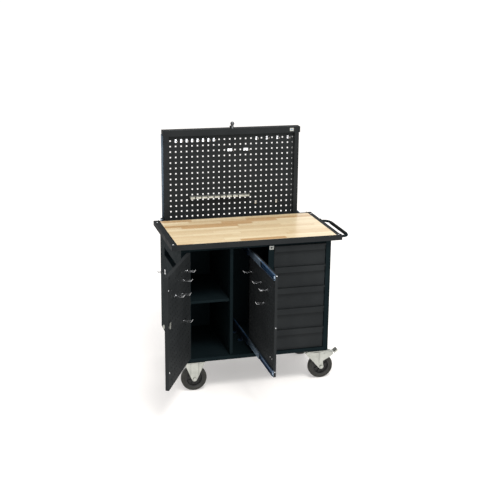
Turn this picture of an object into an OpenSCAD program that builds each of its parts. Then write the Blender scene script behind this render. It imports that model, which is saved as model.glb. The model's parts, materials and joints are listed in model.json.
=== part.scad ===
// Mobile workbench with a wooden worktop, five drawers, a door, a pull-out
// tool panel and a perforated tool panel that slides down behind the worktop.
// Working frame: x = 0 at the middle of the worktop, y = 0 at the front edge
// of the board, +y towards the back, z = 0 on the floor.

/* [Worktop] */
// Height of the board's top above the floor
worktop_h = 1034; // [1020:1:1050]
// Width of the board
board_w = 1062; // [1050:1:1080]
// Depth of the board
board_d = 600; // [596:1:604]
// Thickness of the board
board_t = 30; // [27:1:31]
// Width of the steel strip at each end of the board
strip_w = 37; // [34:1:40]
// Height of the steel frame round the board
frame_h = 36; // [36:1:38]

/* [Cabinet] */
// Outer width of the cabinet
cab_w = 1006; // [1004:1:1008]
// Height of the cabinet from its bottom edge to the worktop frame
cab_h = 779; // [775:1:781]
// Setback of the cabinet front behind the front edge of the board
cab_front = 25; // [24:1:27]
// Back of the cabinet, measured from the front edge of the board
cab_back = 750; // [750:1:756]
// Thickness of the folded steel sheet
sheet = 1.5; // [1.5:0.1:1.6]

/* [Door] */
// Distance of the hinge axis from the middle of the bench
hinge_x = 451; // [450:1:452]
// Length of the door leaf
door_l = 527; // [520:1:528]
// Thickness of the door leaf
door_t = 22; // [21:0.5:22]
// Angle at which the door stands open
door_open = 116.5; // [100:0.5:120]

/* [Pull-out panel] */
// Length of the pull-out panel
pull_l = 585; // [575:1:588]
// Height of the pull-out panel
pull_h = 664; // [655:1:666]
// How far the panel is pulled out
pull_out = 472; // [430:1:475]

/* [Drawers] */
// Width of a drawer front
front_w = 350; // [346:1:351]
// Depth of a drawer box
box_d = 556; // [540:1:560]

/* [Tool panel] */
// Height of the raised tool panel above the board
panel_top = 605; // [600:1:612]
// Width of the cap along the top of the tool panel
cap_w = 974; // [972:1:976]
// Front of the tool panel's border, measured from the front of the board
border_y = 684; // [682:1:686]
// How far the perforated sheet lies behind the front of its border
recess = 20; // [18:1:22]
// Sideways offset of the hole grid in the tool panel
grid_shift = 3; // [2:1:4]
// Spacing of the square holes
pitch = 38; // [37:0.5:38]
// Side of a square hole
hole = 10; // [9.2:0.1:10]

/* [Casters] */
// Wheel diameter
wheel_d = 172; // [169:1:173]
// Width of a tyre
tyre_w = 46; // [40:1:47]
// Height of a caster from the floor to the top of its plate
caster_h = 211; // [210:1:214]
// Distance of the wheel axle behind the swivel axis
trail = 40; // [36:1:44]

/* [Hidden] */
$fn = 48;

steel = [0.17, 0.19, 0.20];
front_steel = [0.20, 0.21, 0.22];
zinc = [0.72, 0.74, 0.76];
slide_zinc = [0.50, 0.57, 0.64];
wood = [0.86, 0.72, 0.52];
rubber = [0.16, 0.16, 0.15];
chrome = [0.80, 0.81, 0.83];

// Cabinet
cab_x = cab_w / 2;
in_x = cab_x - sheet;
cab_z1 = worktop_h - frame_h;
cab_z0 = cab_z1 - cab_h;
plinth_h = 26;
floor_z = cab_z0 + plinth_h;
ceiling_z = cab_z1 - 2;
pocket_y = 622;
upright_w = 34;

// Uprights and bays, from left to right
jamb_x1 = -441;
divider_x0 = -177;
divider_x1 = -158;
bay_x1 = 75;
drawer_x0 = 112;
drawer_x1 = cab_x - upright_w;

// Recessed grip in the left side
grip_y0 = 160;
grip_y1 = 600;
grip_z0 = worktop_h - 241;
grip_z1 = worktop_h - 185;
grip_depth = 36;

// Hook on the left side
side_hook_y = 580;
side_hook_z = worktop_h - 358;

// Door, drawn closed and then swung open about its hinge axis
hinge_y = 15;
door_x0 = -hinge_x + 9;
door_x1 = door_x0 + door_l;
door_y0 = 1;
door_y1 = door_y0 + door_t;
door_z0 = worktop_h - 773;
door_z1 = worktop_h - 58;
door_cols = 12;
door_rows = 17;
door_hole_x = (door_x0 + door_x1) / 2 - (door_cols - 1) * pitch / 2;
door_hole_z = (door_z0 + door_z1) / 2 - (door_rows - 1) * pitch / 2;
hinge_r = 7;
hinge_pin_r = 3.5;
hinge_zs = [for (drop = [690, 420, 150]) worktop_h - drop];
lock_x = -hinge_x + 512;
lock_z = worktop_h - 372;
lock_r = 9;
lock_reach = 15;

// Pull-out panel, drawn pushed in and then moved out
pull_x0 = -19;
pull_x1 = -3;
pull_y0 = 32;
pull_z1 = worktop_h - 102;
pull_z0 = pull_z1 - pull_h;
pull_cols = 14;
pull_rows = 13;
pull_hole_y = pull_y0 + (pull_l - (pull_cols - 1) * pitch) / 2;
pull_hole_z = (pull_z0 + pull_z1) / 2 - (pull_rows - 1) * pitch / 2;
pull_slide_h = 46;
pull_slide_zs = [pull_z0 + 25, pull_z1 - 12];
pull_rail_y0 = 120;

// Drawers
drawers = 5;
drawer_top = worktop_h - 58;
drawer_pitch = 145.6;
front_h = drawer_pitch - 3;
front_x0 = (drawer_x0 + drawer_x1) / 2 - front_w / 2;
front_y = 32;
lip_y = 17;
lip_h = 38;
box_h = 96;
box_wall = 1;
rail_gap = 12.5;
rail_h = 40;
box_x0 = drawer_x0 + rail_gap;
box_x1 = drawer_x1 - rail_gap;

// Tool panel, drawn raised
body_x = cap_w / 2 - 8;
panel_z0 = worktop_h - 60;
cap_z1 = worktop_h + panel_top;
cap_z0 = cap_z1 - 41;
cap_side_h = 27;
border_w = 31;
sheet_y = border_y + recess;
cap_y1 = cab_back - 2;
panel_cols = 24;
panel_rows = 15;
panel_hole_x = grid_shift - (panel_cols - 1) * pitch / 2;
panel_hole_z = worktop_h - 1;
top_row_z = panel_hole_z + (panel_rows - 1) * pitch;
post_w = 32;
post_d = 30;
slide_y0 = border_y + 32;
slide_y1 = cab_back - 3;
slide_top = worktop_h - 15;
slide_low = floor_z + 12;
middle_l = 470;
runner_drop = 160;
lock_y = border_y + 15;

// Screwdriver rack on the tool panel
rack_holes = 9;
rack_pitch = 43.5;
rack_x0 = panel_hole_x + 3.45 * pitch;
rack_w = 418;
rack_z = panel_hole_z + 3.7 * pitch;
rack_d = 46;
rack_r = 7;
rack_slot = 8;

// Casters
wheel_r = wheel_d / 2;
fixed_x = -411;
swivel_x = 434;
caster_ys = [90, 520];
plate_w = 135;
plate_d = 110;
plate_t = 4;
bolt_w = 105;
bolt_d = 80;
bolt_r = 5;
axle_r = 6;
fit = 0.06;
leg_in = 26;
leg_t = 3.5;
rib_t = 3;
bearer_w = 150;
plate_z = caster_h - plate_t;
rim_r = 62;
pedal_x = 62;
pedal_z = caster_h - 33;

// Handle
handle_z = worktop_h - frame_h / 2;
handle_x0 = board_w / 2 + strip_w;
handle_bar_x = handle_x0 + 55;
handle_y0 = 24;
handle_y1 = 428;
handle_r = 8.5;
bend_r = 42;

// Swung-open position of a point given on the closed door
function swung(x, y) = [
    -hinge_x + (x + hinge_x) * cos(door_open) + (y - hinge_y) * sin(door_open),
    hinge_y - (x + hinge_x) * sin(door_open) + (y - hinge_y) * cos(door_open)];
x_min = min(swung(door_x1, door_y0)[0], swung(lock_x + 12, door_y0 - lock_reach)[0]);
x_max = handle_bar_x + handle_r + 3;
y_min = min(swung(door_x1, door_y1)[1], pull_y0 - pull_out);
y_max = cab_back + 1.2;

// Moves the bench so that the origin is the middle of the box round it
module place() translate([-(x_min + x_max) / 2, -(y_min + y_max) / 2, 0]) children();

// Boxes and rods between stated limits
module block(x0, x1, y0, y1, z0, z1)
    translate([x0, y0, z0]) cube([x1 - x0, y1 - y0, z1 - z0]);
module rod_z(x, y, z0, z1, r) translate([x, y, z0]) cylinder(r = r, h = z1 - z0);
module rod_y(x, z, y0, y1, r)
    translate([x, y0, z]) rotate([-90, 0, 0]) cylinder(r = r, h = y1 - y0);
module rod_x(y, z, x0, x1, r)
    translate([x0, y, z]) rotate([0, 90, 0]) cylinder(r = r, h = x1 - x0);
module hex_y(x, z, y0, y1, r)
    translate([x, y0, z]) rotate([-90, 0, 0]) cylinder(r = r, h = y1 - y0, $fn = 6);

// Flat sheet in the XZ plane with a grid of square holes, thick along +y
module grid_sheet(x0, x1, z0, z1, y, t, cols, rows, hole_x, hole_z)
    translate([0, y + t, 0]) rotate([90, 0, 0]) linear_extrude(t) difference() {
        translate([x0, z0]) square([x1 - x0, z1 - z0]);
        for (i = [0 : cols - 1], j = [0 : rows - 1])
            translate([hole_x + i * pitch, hole_z + j * pitch]) square(hole, center = true);
    }

// Rectangular tube along y
module tube_y(x0, x1, y0, y1, z0, z1, t) difference() {
    block(x0, x1, y0, y1, z0, z1);
    block(x0 + t, x1 - t, y0 - 1, y1 + 1, z0 + t, z1 - t);
}

// Rectangular tube along z
module tube_z(x0, x1, y0, y1, z0, z1, t) difference() {
    block(x0, x1, y0, y1, z0, z1);
    block(x0 + t, x1 - t, y0 + t, y1 - t, z0 - 1, z1 + 1);
}

// Channel along y: web of thickness t at x = web, flanges reaching to x = open
module channel_y(web, open, zc, h, y0, y1, t) {
    s = open > web ? 1 : -1;
    block(min(web, web + s * t), max(web, web + s * t), y0, y1, zc - h / 2, zc + h / 2);
    for (z = [zc - h / 2, zc + h / 2 - t])
        block(min(web, open), max(web, open), y0, y1, z, z + t);
}

// Channel along z: web at x = web, flanges at y0 and y1 reaching to x = open
module channel_z(web, open, y0, y1, z0, z1, t) {
    s = open > web ? 1 : -1;
    block(min(web, web + s * t), max(web, web + s * t), y0, y1, z0, z1);
    for (y = [y0, y1 - t])
        block(min(web, open), max(web, open), y, y + t, z0, z1);
}

module both_sides() {
    children();
    mirror([1, 0, 0]) children();
}

// ---- Cabinet ----

// Skin of a side, with a folded flange along its back edge
module side_skin() {
    block(-cab_x, -in_x, cab_front, cab_back, cab_z0, cab_z1);
    block(-in_x, -in_x + 16, cab_back - sheet, cab_back, cab_z0, cab_z1);
}

// Left side, folded at its front into the hollow post that carries the door
module side_left() color(steel) place() {
    difference() {
        side_skin();
        block(-cab_x - 1, -in_x + 1, grip_y0, grip_y1, grip_z0, grip_z1);
    }
    block(-in_x, jamb_x1, cab_front, cab_front + sheet, floor_z, ceiling_z);
    block(jamb_x1 - sheet, jamb_x1, cab_front, cab_front + 26, floor_z, ceiling_z);
    block(-in_x, jamb_x1, cab_front + 26, cab_front + 26 + sheet, floor_z, ceiling_z);
}

// Tray welded behind the cut-out in the left side, to take the fingers
module grip_tray() color(steel) place() difference() {
    block(-in_x, -cab_x + grip_depth, grip_y0 - sheet, grip_y1 + sheet,
        grip_z0 - sheet, grip_z1 + sheet);
    block(-in_x - 1, -cab_x + grip_depth - sheet, grip_y0, grip_y1, grip_z0, grip_z1);
}

// Hook on the outside of the left side, on its own small bracket
module side_hook() color(chrome) place() {
    translate([-cab_x, side_hook_y, side_hook_z]) rotate([0, 0, -90]) {
        block(-17, 17, -1.5, 0, -16, 16);
        for (x = [-12, 12]) {
            rod_y(x, 0, -50, -1, 1.8);
            translate([x, -50, 0]) sphere(r = 1.8, $fn = 24);
            translate([x, -50, 0]) rotate([30, 0, 0]) cylinder(r = 1.8, h = 12);
        }
    }
}

module side_right() color(steel) place() {
    mirror([1, 0, 0]) side_skin();
    block(drawer_x1, in_x, cab_front, cab_front + sheet, floor_z, ceiling_z);
    block(drawer_x1, drawer_x1 + sheet, cab_front, cab_front + 30, floor_z, ceiling_z);
}

// Floor of the cabinet with a front plinth and two bearers for the casters
module base_pan() color(steel) place() difference() {
    union() {
        block(-in_x, in_x, cab_front, cab_back - sheet, floor_z - sheet, floor_z);
        for (y = [cab_front, cab_back - 2 * sheet])
            block(-in_x, in_x, y, y + sheet, cab_z0, floor_z);
        for (x = [fixed_x, swivel_x - 8]) bearer(x - bearer_w / 2, x + bearer_w / 2);
    }
    for (x = [fixed_x, swivel_x], y = caster_ys) bolt_holes(x, y);
}

module bearer(x0, x1)
    tube_y(x0, x1, cab_front + 20, cab_back - 20, caster_h, floor_z - sheet, 3);

module bolt_holes(x, y)
    for (dx = [-1, 1], dy = [-1, 1])
        rod_z(x + dx * bolt_w / 2, y + dy * bolt_d / 2, caster_h - 1, caster_h + 4, bolt_r + 0.5);

module rear_cover() color(steel) place() {
    block(-cab_x, cab_x, cab_back, y_max, cab_z0, cab_z1);
    for (z = [0.3, 0.7])
        block(-cab_x + 60, cab_x - 60, cab_back - 1, cab_back,
            cab_z0 + z * cab_h - 20, cab_z0 + z * cab_h + 20);
}

module pocket_wall() color(steel) place() {
    block(-in_x, in_x, pocket_y, pocket_y + 1.2, floor_z, ceiling_z);
    block(-in_x, in_x, pocket_y + 1.2, pocket_y + 19, floor_z, floor_z + 1.2);
}

// Wall beside the drawers, folded out at the front as a broad upright
module drawer_wall() color(steel) place() {
    block(bay_x1, drawer_x0, cab_front, cab_front + sheet, floor_z, ceiling_z);
    block(drawer_x0 - sheet, drawer_x0, cab_front, pocket_y, floor_z, ceiling_z);
}

module divider() color(steel) place() {
    block(divider_x0, divider_x0 + sheet, 40, pocket_y, floor_z, ceiling_z);
    block(divider_x0, divider_x1, 40, 40 + sheet, floor_z, ceiling_z);
    block(divider_x1 - sheet, divider_x1, 40, 62, floor_z, ceiling_z);
}

module shelf() color(steel) place() {
    top = worktop_h - 404;
    block(-in_x + 0.5, divider_x0 - 0.5, 60, pocket_y - 2, top - 1.2, top);
    for (y = [60, pocket_y - 3.2])
        block(-in_x + 0.5, divider_x0 - 0.5, y, y + 1.2, top - 16, top);
    for (x = [-in_x + 0.5, divider_x0 - 1.7])
        block(x, x + 1.2, 60, pocket_y - 2, top - 16, top);
}

module top_plate() color(steel) place() {
    block(-in_x, in_x, cab_front, pocket_y + 1.2, ceiling_z, cab_z1);
    for (span = [[jamb_x1, bay_x1], [drawer_x0, drawer_x1]])
        block(span[0], span[1], cab_front + 8, cab_front + 8 + sheet, ceiling_z - 20, ceiling_z);
}

// ---- Worktop ----

// Welded frame: a thin front band, a tube at each end and a rim at the back
module worktop_frame() color(steel) place() {
    half = board_w / 2;
    end_top = worktop_h - 5;
    ledge_z = worktop_h - board_t;
    strip_y1 = board_d + 46;
    block(-half - strip_w, half + strip_w, -6, -4, cab_z1, worktop_h);
    block(-half, half, -4, 0, worktop_h - 2, worktop_h);
    block(-half, half, -4, 24, cab_z1, cab_z1 + 2);
    for (x = [-half - strip_w, half])
        tube_y(x, x + strip_w, -4, strip_y1, cab_z1, end_top, 2);
    for (x = [-half - 2, half])
        block(x, x + 2, -4, strip_y1, end_top - 2, worktop_h);
    difference() {
        block(-half, half, board_d, board_d + 20, cab_z1, worktop_h);
        block(-half - 1, half + 1, board_d + 2, board_d + 18, cab_z1 + 2, worktop_h - 2);
    }
    difference() {
        block(-half, half, 0, board_d, ledge_z - 2, ledge_z);
        block(-half + 30, half - 30, 30, board_d - 30, ledge_z - 3, ledge_z + 1);
    }
    block(-half, half, -4, -2, cab_z1 + 2, worktop_h - 2);
    for (x = [-half, half - 2])
        block(x, x + 2, -2, board_d, cab_z1, ledge_z - 2);
}

module worktop_board() color(wood) place()
    block(-board_w / 2, board_w / 2, 0, board_d, worktop_h - board_t, worktop_h);

// Domed screws that hold the end strips
module frame_screws() color(chrome) place()
    both_sides() for (y = [22, board_d - 14]) {
        rod_z(board_w / 2 + strip_w / 2 + 2, y, worktop_h - 5, worktop_h - 3, 6.5);
        rod_z(board_w / 2 + strip_w / 2 + 2, y, worktop_h - 3, worktop_h - 2, 4.5);
    }

// ---- Handle ----

module tube_ring() difference() {
    circle(r = handle_r);
    circle(r = handle_r - 2);
}

module straight_tube(length) rotate([-90, 0, 0]) linear_extrude(length) tube_ring();

module handle_tube() color(steel) place() translate([0, 0, handle_z]) {
    bend_x = handle_bar_x - bend_r;
    for (y = [handle_y0, handle_y1]) {
        translate([handle_x0, y, 0]) rotate([0, 0, -90]) straight_tube(bend_x - handle_x0);
        rod_x(y, 0, handle_x0, handle_x0 + 3, 17);
    }
    translate([bend_x, handle_y0 + bend_r, 0]) rotate([0, 0, -90])
        rotate_extrude(angle = 90) translate([bend_r, 0]) tube_ring();
    translate([bend_x, handle_y1 - bend_r, 0])
        rotate_extrude(angle = 90) translate([bend_r, 0]) tube_ring();
    translate([handle_bar_x, handle_y0 + bend_r, 0])
        straight_tube(handle_y1 - handle_y0 - 2 * bend_r);
}

// Ribbed rubber sleeve round the bar of the handle
module handle_grip() color(rubber) place() {
    y0 = handle_y0 + bend_r + 14;
    y1 = handle_y1 - bend_r - 14;
    ribs = floor((y1 - y0 - 8) / 12);
    difference() {
        union() {
            rod_y(handle_bar_x, handle_z, y0, y1, handle_r + 2);
            for (i = [0 : ribs])
                rod_y(handle_bar_x, handle_z, y0 + 12 * i, y0 + 12 * i + 6, handle_r + 3);
        }
        rod_y(handle_bar_x, handle_z, y0 - 1, y1 + 1, handle_r);
    }
}

// ---- Door ----

module swing_door()
    translate([-hinge_x, hinge_y, 0]) rotate([0, 0, -door_open])
        translate([hinge_x, -hinge_y, 0]) children();

// Fixed half of each hinge: a leaf on the jamb, a lower knuckle and the pin
module hinge_leaves() color(steel) place() for (z = hinge_zs) {
    rod_z(-hinge_x, hinge_y, z - 30, z, hinge_r);
    rod_z(-hinge_x, hinge_y, z, z + 27, hinge_pin_r);
    block(-hinge_x - 44, -hinge_x, cab_front - 3, cab_front, z - 30, z);
    block(-hinge_x - 5, -hinge_x, hinge_y, cab_front, z - 30, z);
}

// Outer tray of the door with the upper knuckle of each hinge welded on
module door_skin() color(steel) place() swing_door() {
    difference() {
        block(door_x0, door_x1, door_y0, door_y1 - 1.2, door_z0, door_z1);
        block(door_x0 + 1.2, door_x1 - 1.2, door_y0 + 1.2, door_y1, door_z0 + 1.2, door_z1 - 1.2);
        rod_y(lock_x, lock_z, door_y0 - 1, door_y0 + 3, lock_r + 0.3);
    }
    for (z = hinge_zs) difference() {
        union() {
            rod_z(-hinge_x, hinge_y, z + 0.5, z + 30, hinge_r);
            block(-hinge_x, door_x0, hinge_y - 3, hinge_y, z + 0.5, z + 30);
        }
        rod_z(-hinge_x, hinge_y, z, z + 28, hinge_pin_r + fit);
    }
}

// Perforated inner face of the door
module door_liner() color(steel) place() swing_door() difference() {
    grid_sheet(door_x0, door_x1, door_z0, door_z1, door_y1 - 1.2, 1.2,
        door_cols, door_rows, door_hole_x, door_hole_z);
    rod_y(lock_x, lock_z, door_y1 - 3, door_y1 + 1, lock_r + 0.3);
}

// Quarter-turn lock: a wing outside, a barrel and a cam inside
module door_lock() color(zinc) place() swing_door() {
    rod_y(lock_x, lock_z, door_y0 - 4, door_y0 - 0.3, 12);
    block(lock_x - 4, lock_x + 4, door_y0 - lock_reach, door_y0 - 3, lock_z - 11, lock_z + 11);
    rod_y(lock_x, lock_z, door_y0 - 2, door_y1 + 6, lock_r);
    block(lock_x - 9, lock_x + 9, door_y1 + 6, door_y1 + 9, lock_z - 9, lock_z + 30);
}

// Wire hook with two prongs on a small plate that clips into the grid.
// Drawn at the origin on a sheet face at y = 0, prongs towards -y.
module twin_hook(reach, gap) {
    block(-gap / 2 - 4, gap / 2 + 4, -1.5, 0, -9, 9);
    block(-3.5, 3.5, -0.5, 3, -3.5, 3.5);
    block(-3.5, 3.5, 1.6, 3, -3.5, 8);
    for (x = [-gap / 2, gap / 2]) {
        rod_y(x, 0, -reach, -1, 1.8);
        translate([x, -reach, 0]) sphere(r = 1.8, $fn = 24);
        translate([x, -reach, 0]) rotate([30, 0, 0]) cylinder(r = 1.8, h = 12);
    }
}

module door_hooks() color(chrome) place() swing_door()
    for (at = [[1, 15], [3, 14], [4, 12], [8, 13], [3, 7]])
        translate([door_hole_x + at[0] * pitch, door_y1, door_hole_z + at[1] * pitch])
            rotate([0, 0, 180]) twin_hook(50, 22);

// ---- Pull-out panel ----

module pull_move() translate([0, -pull_out, 0]) children();

// Perforated sheet with folded edges, standing front to back
module pullout_panel() color(steel) place() pull_move() {
    translate([pull_x0, 0, 0]) rotate([0, 0, 90])
        grid_sheet(pull_y0, pull_y0 + pull_l, pull_z0, pull_z1, -1.2, 1.2,
            pull_cols, pull_rows, pull_hole_y, pull_hole_z);
    for (z = [pull_z0, pull_z1 - 1.2])
        block(pull_x0, pull_x1, pull_y0, pull_y0 + pull_l, z, z + 1.2);
    for (y = [pull_y0, pull_y0 + pull_l - 1.2])
        block(pull_x0, pull_x1, y, y + 1.2, pull_z0, pull_z1);
    for (z = [pull_z0, pull_z1 - 10])
        block(pull_x1 - 1.2, pull_x1, pull_y0, pull_y0 + pull_l, z, z + 10);
    for (y = [pull_y0, pull_y0 + pull_l - 14])
        block(pull_x1 - 1.2, pull_x1, y, y + 14, pull_z0, pull_z1);
}

// Slide members: on the panel, nested in the middle one, nested in the cabinet's
module pullout_runners() color(slide_zinc) place() pull_move()
    for (z = pull_slide_zs)
        channel_y(pull_x0, pull_x0 - 9, z, pull_slide_h - 10, pull_y0, pull_y0 + pull_l, 1.2);

module pullout_middle() color(slide_zinc) place() translate([0, -pull_out / 2, 0])
    for (z = pull_slide_zs)
        channel_y(pull_x0 - 12, pull_x0 - 2.5, z, pull_slide_h - 5.6, 90, 612, 1.2);

module pullout_rails() color(slide_zinc) place() {
    web = pull_x0 - 15;
    for (z = pull_slide_zs)
        channel_y(web, web + 10, z, pull_slide_h, pull_rail_y0, 612, 1.5);
    for (y = [260, 420, 570]) {
        block(web - 2, web, y, y + 36, pull_slide_zs[1] - 12, ceiling_z);
        block(web - 2, web, y, y + 36, floor_z, pull_slide_zs[0] + 12);
        block(web - 24, web, y, y + 36, ceiling_z - 2, ceiling_z);
        block(web - 24, web, y, y + 36, floor_z, floor_z + 2);
    }
}

module pullout_hooks() color(chrome) place() pull_move()
    for (at = [[3, 11], [7, 11], [13, 11], [5, 8]])
        translate([pull_x0, pull_hole_y + at[0] * pitch, pull_hole_z + at[1] * pitch])
            rotate([0, 0, -90]) twin_hook(48, 22);

// ---- Drawers ----

function front_z1(i) = drawer_top - i * drawer_pitch;
function box_z0(i) = front_z1(i) - front_h + 10;

// Front panel with a full-width grip lip along its top
module drawer_front(i) color(front_steel) place() {
    z1 = front_z1(i);
    x1 = front_x0 + front_w;
    block(front_x0, x1, front_y, front_y + sheet, z1 - front_h, z1);
    block(front_x0, x1, lip_y, front_y + sheet, z1 - sheet, z1);
    difference() {
        block(front_x0, x1, lip_y, lip_y + sheet, z1 - lip_h, z1);
        block(x1 - 9, x1 + 1, lip_y - 1, lip_y + 3, z1 - lip_h - 1, z1 - 10);
    }
    block(front_x0, x1, front_y - 8, front_y, z1 - front_h, z1 - front_h + sheet);
}

// Open box with a runner folded out of each side
module drawer_box(i) color(front_steel) place() {
    z0 = box_z0(i);
    y0 = front_y + sheet;
    zc = z0 + box_h / 2;
    difference() {
        block(box_x0, box_x1, y0, y0 + box_d, z0, z0 + box_h);
        block(box_x0 + box_wall, box_x1 - box_wall, y0 + box_wall, y0 + box_d - box_wall,
            z0 + box_wall, z0 + box_h + 1);
    }
    channel_y(box_x0, box_x0 - 9, zc, rail_h - 8, y0 + 6, y0 + box_d, 1.5);
    channel_y(box_x1, box_x1 + 9, zc, rail_h - 8, y0 + 6, y0 + box_d, 1.5);
}

// Fixed members of the drawer slides
module drawer_rails() color(slide_zinc) place() for (i = [0 : drawers - 1]) {
    zc = box_z0(i) + box_h / 2;
    channel_y(drawer_x0, drawer_x0 + 10.5, zc, rail_h, front_y + 6, 600, 1.5);
    channel_y(drawer_x1, drawer_x1 - 10.5, zc, rail_h, front_y + 6, 600, 1.5);
    for (y = [70, 330, 560])
        block(drawer_x1, in_x, y, y + 30, zc - 10, zc + 10);
}

// ---- Tool panel ----

// Folded border round the sheet, with the cap on top and posts behind
module panel_tray() color(steel) place() {
    back = sheet_y + sheet;
    cap_x = cap_w / 2;
    in_w = body_x - border_w;
    low_z = panel_z0 + border_w;
    difference() {
        block(-cap_x, cap_x, border_y, cap_y1, cap_z1 - sheet, cap_z1);
        rod_z(0, lock_y, cap_z1 - 3, cap_z1 + 1, 9.3);
    }
    block(-cap_x, cap_x, border_y, border_y + sheet, cap_z0, cap_z1);
    block(-cap_x, cap_x, cap_y1 - sheet, cap_y1, cap_z1 - cap_side_h, cap_z1);
    block(-in_w, in_w, border_y, sheet_y, cap_z0, cap_z0 + sheet);
    block(-in_w, in_w, border_y, sheet_y, low_z - sheet, low_z);
    block(-in_w, in_w, border_y, border_y + sheet, panel_z0, low_z);
    block(-body_x, body_x, border_y, back + post_d, panel_z0, panel_z0 + sheet);
    both_sides() {
        block(-cap_x, -cap_x + sheet, border_y, cap_y1, cap_z1 - cap_side_h, cap_z1);
        block(-body_x, -in_w, border_y, border_y + sheet, panel_z0, cap_z0);
        block(-in_w - sheet, -in_w, border_y, sheet_y, panel_z0, cap_z0 + sheet);
        block(-body_x, -body_x + sheet, border_y, back, panel_z0, cap_z1 - sheet);
        tube_z(-body_x, -body_x + post_w, back, back + post_d, panel_z0, cap_z1 - sheet, sheet);
    }
}

module panel_sheet() color(steel) place()
    grid_sheet(-body_x + sheet, body_x - sheet, panel_z0 + sheet, cap_z1 - 34, sheet_y, sheet,
        panel_cols, panel_rows, panel_hole_x, panel_hole_z);

// Slide members on the panel, on the cabinet and between the two
module panel_runners() color(slide_zinc) place() both_sides()
    channel_z(-body_x, -body_x - 12, slide_y0 + 6, slide_y1 - 6,
        slide_top - runner_drop, cap_z1 - cap_side_h - 1, sheet);

module panel_middle() color(slide_zinc) place() both_sides()
    channel_z(-in_x + 3, -in_x + 18, slide_y0 + 3, slide_y1 - 3,
        slide_top - 3 - middle_l, slide_top - 3, sheet);

module panel_rails() color(slide_zinc) place() both_sides() {
    channel_z(-in_x, -in_x + 16, slide_y0, slide_y1, slide_low, slide_top, 2);
    block(-in_x, -in_x + 10, slide_y0 - 22, slide_y0, slide_top - 60, slide_top);
}

// Lock on the cap: a turning barrel with a wing and a cam below the cap
module panel_lock() color(chrome) place() {
    y = lock_y;
    rod_z(0, y, cap_z1 + 0.3, cap_z1 + 9, 13);
    rod_z(0, y, cap_z1 - 16, cap_z1 + 24, 9);
    translate([0, y, cap_z1 + 33]) sphere(r = 14);
    block(-4, 27, y - 7, y + 7, cap_z1 - 16, cap_z1 - 13);
}

// Single-prong hook for a spanner; the sheet face is at y = 0
module spanner_hook(reach) {
    block(-6, 6, -1.5, 0, -12, 10);
    block(-3.5, 3.5, -0.5, 3.2, -3.5, 3.5);
    block(-3.5, 3.5, 2, 3.2, -3.5, 8);
    rod_y(0, 0, -reach, -1, 2.2);
    translate([0, -reach, 0]) sphere(r = 2.2, $fn = 24);
    translate([0, -reach, 0]) rotate([30, 0, 0]) cylinder(r = 2.2, h = 11);
}

module tool_hooks() color(chrome) place() {
    for (col = [1, 2, 3, 4, 5, 6, 7, 8, 16, 18, 20, 22])
        translate([panel_hole_x + col * pitch, sheet_y, top_row_z]) spanner_hook(50);
    for (col = [11, 14])
        translate([panel_hole_x + col * pitch, sheet_y, top_row_z - 2 * pitch]) twin_hook(50, 24);
    for (col = [16, 20])
        translate([panel_hole_x + col * pitch, sheet_y, panel_hole_z + 2 * pitch])
            spanner_hook(44);
}

// Shelf strip with round holes for screwdrivers, each open to the front
module driver_rack() color(zinc) place() {
    front = sheet_y - rack_d;
    hole_x0 = rack_x0 + (rack_w - (rack_holes - 1) * rack_pitch) / 2;
    difference() {
        union() {
            block(rack_x0, rack_x0 + rack_w, front, sheet_y, rack_z, rack_z + 2);
            block(rack_x0, rack_x0 + rack_w, front, front + 1.5, rack_z - 10, rack_z + 2);
        }
        for (i = [0 : rack_holes - 1]) {
            x = hole_x0 + i * rack_pitch;
            rod_z(x, front + rack_d / 2, rack_z - 1, rack_z + 3, rack_r);
            block(x - rack_slot / 2, x + rack_slot / 2, front - 1, front + rack_d / 2,
                rack_z - 11, rack_z + 3);
        }
    }
    for (x = [rack_x0, rack_x0 + rack_w - 2])
        block(x, x + 2, sheet_y - rack_d, sheet_y, rack_z - 10, rack_z + 10);
    for (x = [rack_x0 + pitch / 2, rack_x0 + rack_w - pitch / 2])
        block(x - 8, x + 8, sheet_y - 1.5, sheet_y, rack_z - 26, rack_z + 2);
}

// ---- Casters ----

module caster_plate(x, y) difference() {
    block(x - plate_w / 2, x + plate_w / 2, y - plate_d / 2, y + plate_d / 2, plate_z, caster_h);
    for (dx = [-1, 1], dy = [-1, 1])
        rod_z(x + dx * bolt_w / 2, y + dy * bolt_d / 2, plate_z - 1, caster_h + 1, bolt_r + 0.5);
}

// Axle bolt with its head and nut outside the fork legs
module axle(x, y) {
    out = leg_in + leg_t;
    rod_y(x, wheel_r, y - out - 4, y + out + 10, axle_r);
    hex_y(x, wheel_r, y - out - 7, y - out, 10.5);
    hex_y(x, wheel_r, y + out, y + out + 9, 10.5);
}

// Fork leg cut from plate: an outline drawn in XZ about the axle
module leg_plate(outline, x, y) translate([x, y, wheel_r]) rotate([90, 0, 0])
    linear_extrude(leg_t) difference() {
        union() {
            polygon(outline);
            circle(r = 17);
        }
        circle(r = axle_r - 0.5);
    }

module fixed_forks() color(zinc) place() for (y = caster_ys) {
    top = plate_z - wheel_r;
    outline = [[-18, -3], [18, -3], [68, top - 14], [68, top], [-52, top], [-60, top - 24]];
    caster_plate(fixed_x, y);
    leg_plate(outline, fixed_x, y - leg_in);
    leg_plate(outline, fixed_x, y + leg_in + leg_t);
    for (x = [-26, 30], end = [y - leg_in - leg_t - rib_t, y + leg_in + leg_t])
        block(fixed_x + x - 2.5, fixed_x + x + 2.5, end, end + rib_t, wheel_r + 26, plate_z);
    axle(fixed_x, y);
}

module swivel_plates() color(zinc) place() for (y = caster_ys) {
    caster_plate(swivel_x, y);
    rod_z(swivel_x, y, plate_z - 12, plate_z, 32);
    rod_z(swivel_x, y, plate_z - 31, plate_z - 12, axle_r);
    translate([swivel_x, y, plate_z - 31]) cylinder(r = 11, h = 10, $fn = 6);
}

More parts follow.
